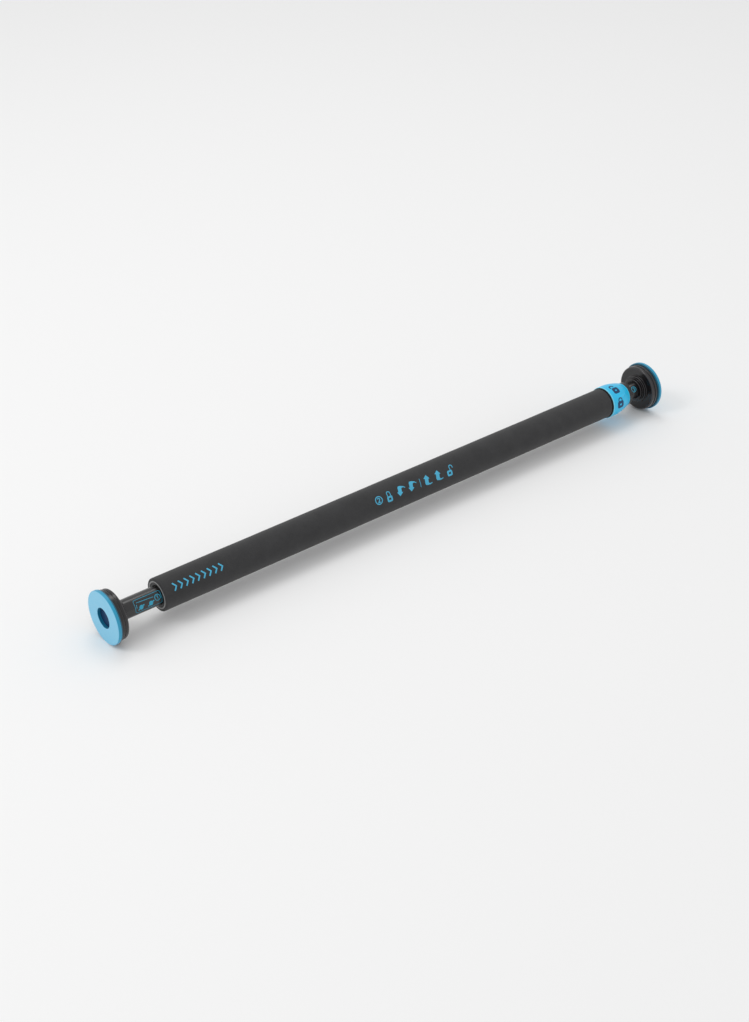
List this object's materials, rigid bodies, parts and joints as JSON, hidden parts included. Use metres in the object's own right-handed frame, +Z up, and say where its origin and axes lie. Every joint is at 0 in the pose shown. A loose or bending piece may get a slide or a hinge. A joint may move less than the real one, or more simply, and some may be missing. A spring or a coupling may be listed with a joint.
{
  "type": "pull up bar",
  "caption": "Doorway pull up bar: foam-covered tube that screws longer between two padded feet, with a turning lock ring at one end.",
  "frame": {"origin": "on the bar's axis, midway between the outer faces of the two pads, with the bar screwed right in", "axes": "+X along the bar towards the lock ring end, +Z up, the bar lying level"},
  "size_m": [0.925, 0.07, 0.07],
  "materials": {
    "pad_rubber": "smooth moulded rubber, satin",
    "black_abs": "moulded, glossy",
    "black_nylon": "moulded, satin",
    "black_painted_steel": "gloss powder coat",
    "nbr_foam": "closed-cell foam skin, matte",
    "cyan_abs": "moulded, satin gloss",
    "zinc_steel": "bright zinc plate",
    "ground_steel": "turned",
    "bronze": "sintered, oiled",
    "white_acetal": "moulded, satin"
  },
  "bodies": {
    "left_end": {"left_pad": "pad_rubber", "left_cup": "black_abs", "left_foot_plug": "black_nylon", "left_foot_screw": "zinc_steel", "left_tube": "black_painted_steel", "screw_nut": "white_acetal", "nut_pin": "zinc_steel", "nut_guide_ring": "white_acetal"},
    "wiper": {"wiper_ring": "black_nylon"},
    "grip": {"foam_grip": "nbr_foam", "main_tube": "black_painted_steel", "mouth_bush": "black_nylon", "threaded_rod": "zinc_steel", "rod_stop_ring": "zinc_steel", "rod_anchor": "ground_steel", "anchor_pin": "zinc_steel", "thrust_block": "ground_steel", "thrust_pin": "zinc_steel", "thrust_washer": "bronze", "spindle_bush": "white_acetal", "lock_housing": "black_nylon", "housing_pin_front": "zinc_steel", "housing_pin_back": "zinc_steel", "lock_cap": "black_abs"},
    "lock_ring": {"lock_ring": "cyan_abs"},
    "lock_slider": {"lock_slider": "ground_steel", "slider_stud_upper": "ground_steel", "slider_stud_lower": "ground_steel"},
    "right_end": {"right_tube": "black_painted_steel", "spindle_plug": "ground_steel", "lock_wheel": "ground_steel", "wheel_pin": "zinc_steel", "right_cup": "black_abs", "right_pad": "pad_rubber", "right_foot_plug": "black_nylon", "right_foot_screw": "zinc_steel"}
  },
  "joints": [
    {"name": "extension", "type": "slide", "parent": "left_end", "child": "wiper", "axis": [1, 0, 0], "range_m": [0, 0.3]},
    {"name": "grip_turn", "type": "hinge", "parent": "wiper", "child": "grip", "pos_m": [0, 0, 0], "axis": [1, 0, 0], "range_deg": [0, 27000]},
    {"name": "foot_swivel", "type": "hinge", "parent": "grip", "child": "right_end", "pos_m": [0.4, 0, 0], "axis": [1, 0, 0], "continuous": true},
    {"name": "lock_ring_turn", "type": "hinge", "parent": "grip", "child": "lock_ring", "pos_m": [0.39, 0, 0], "axis": [1, 0, 0], "range_deg": [-54, 0]},
    {"name": "slider_slide", "type": "slide", "parent": "grip", "child": "lock_slider", "axis": [1, 0, 0], "range_m": [0, 0.0032]}
  ],
  "couplings": [
    {"joint": "extension", "follows": "grip_turn", "m_per_rad": 0.00063662},
    {"joint": "slider_slide", "follows": "lock_ring_turn", "m_per_rad": -0.0033953}
  ]
}
